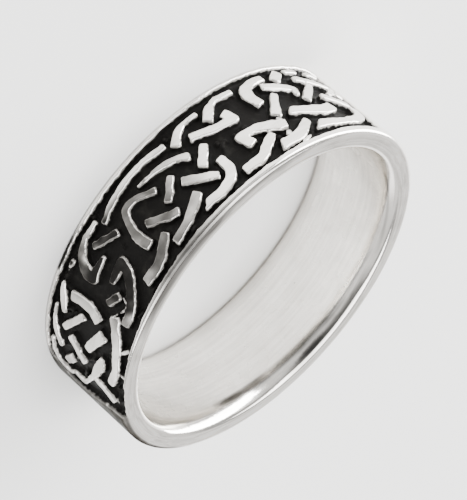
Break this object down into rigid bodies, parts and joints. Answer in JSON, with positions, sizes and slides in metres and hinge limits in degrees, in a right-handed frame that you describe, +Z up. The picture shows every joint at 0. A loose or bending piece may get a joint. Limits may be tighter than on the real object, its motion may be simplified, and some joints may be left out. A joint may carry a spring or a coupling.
{
  "type": "celtic knotwork band ring",
  "caption": "Plain cast silver finger ring with a sunk, blackened panel of interlaced knotwork between two rails and a comfort-fit bore.",
  "frame": {"origin": "on the ring's axis, at the level of the lower side face that the ring lies on", "axes": "+Z up along the ring's axis; -Y points out through the middle of the knotwork panel; +X to the right as the panel is looked at"},
  "size_m": [0.0232, 0.0232, 0.0068],
  "materials": {
    "silver": "polished sterling silver with a blackened sunk ground"
  },
  "bodies": {
    "root": {"band": "silver"}
  },
  "joints": []
}
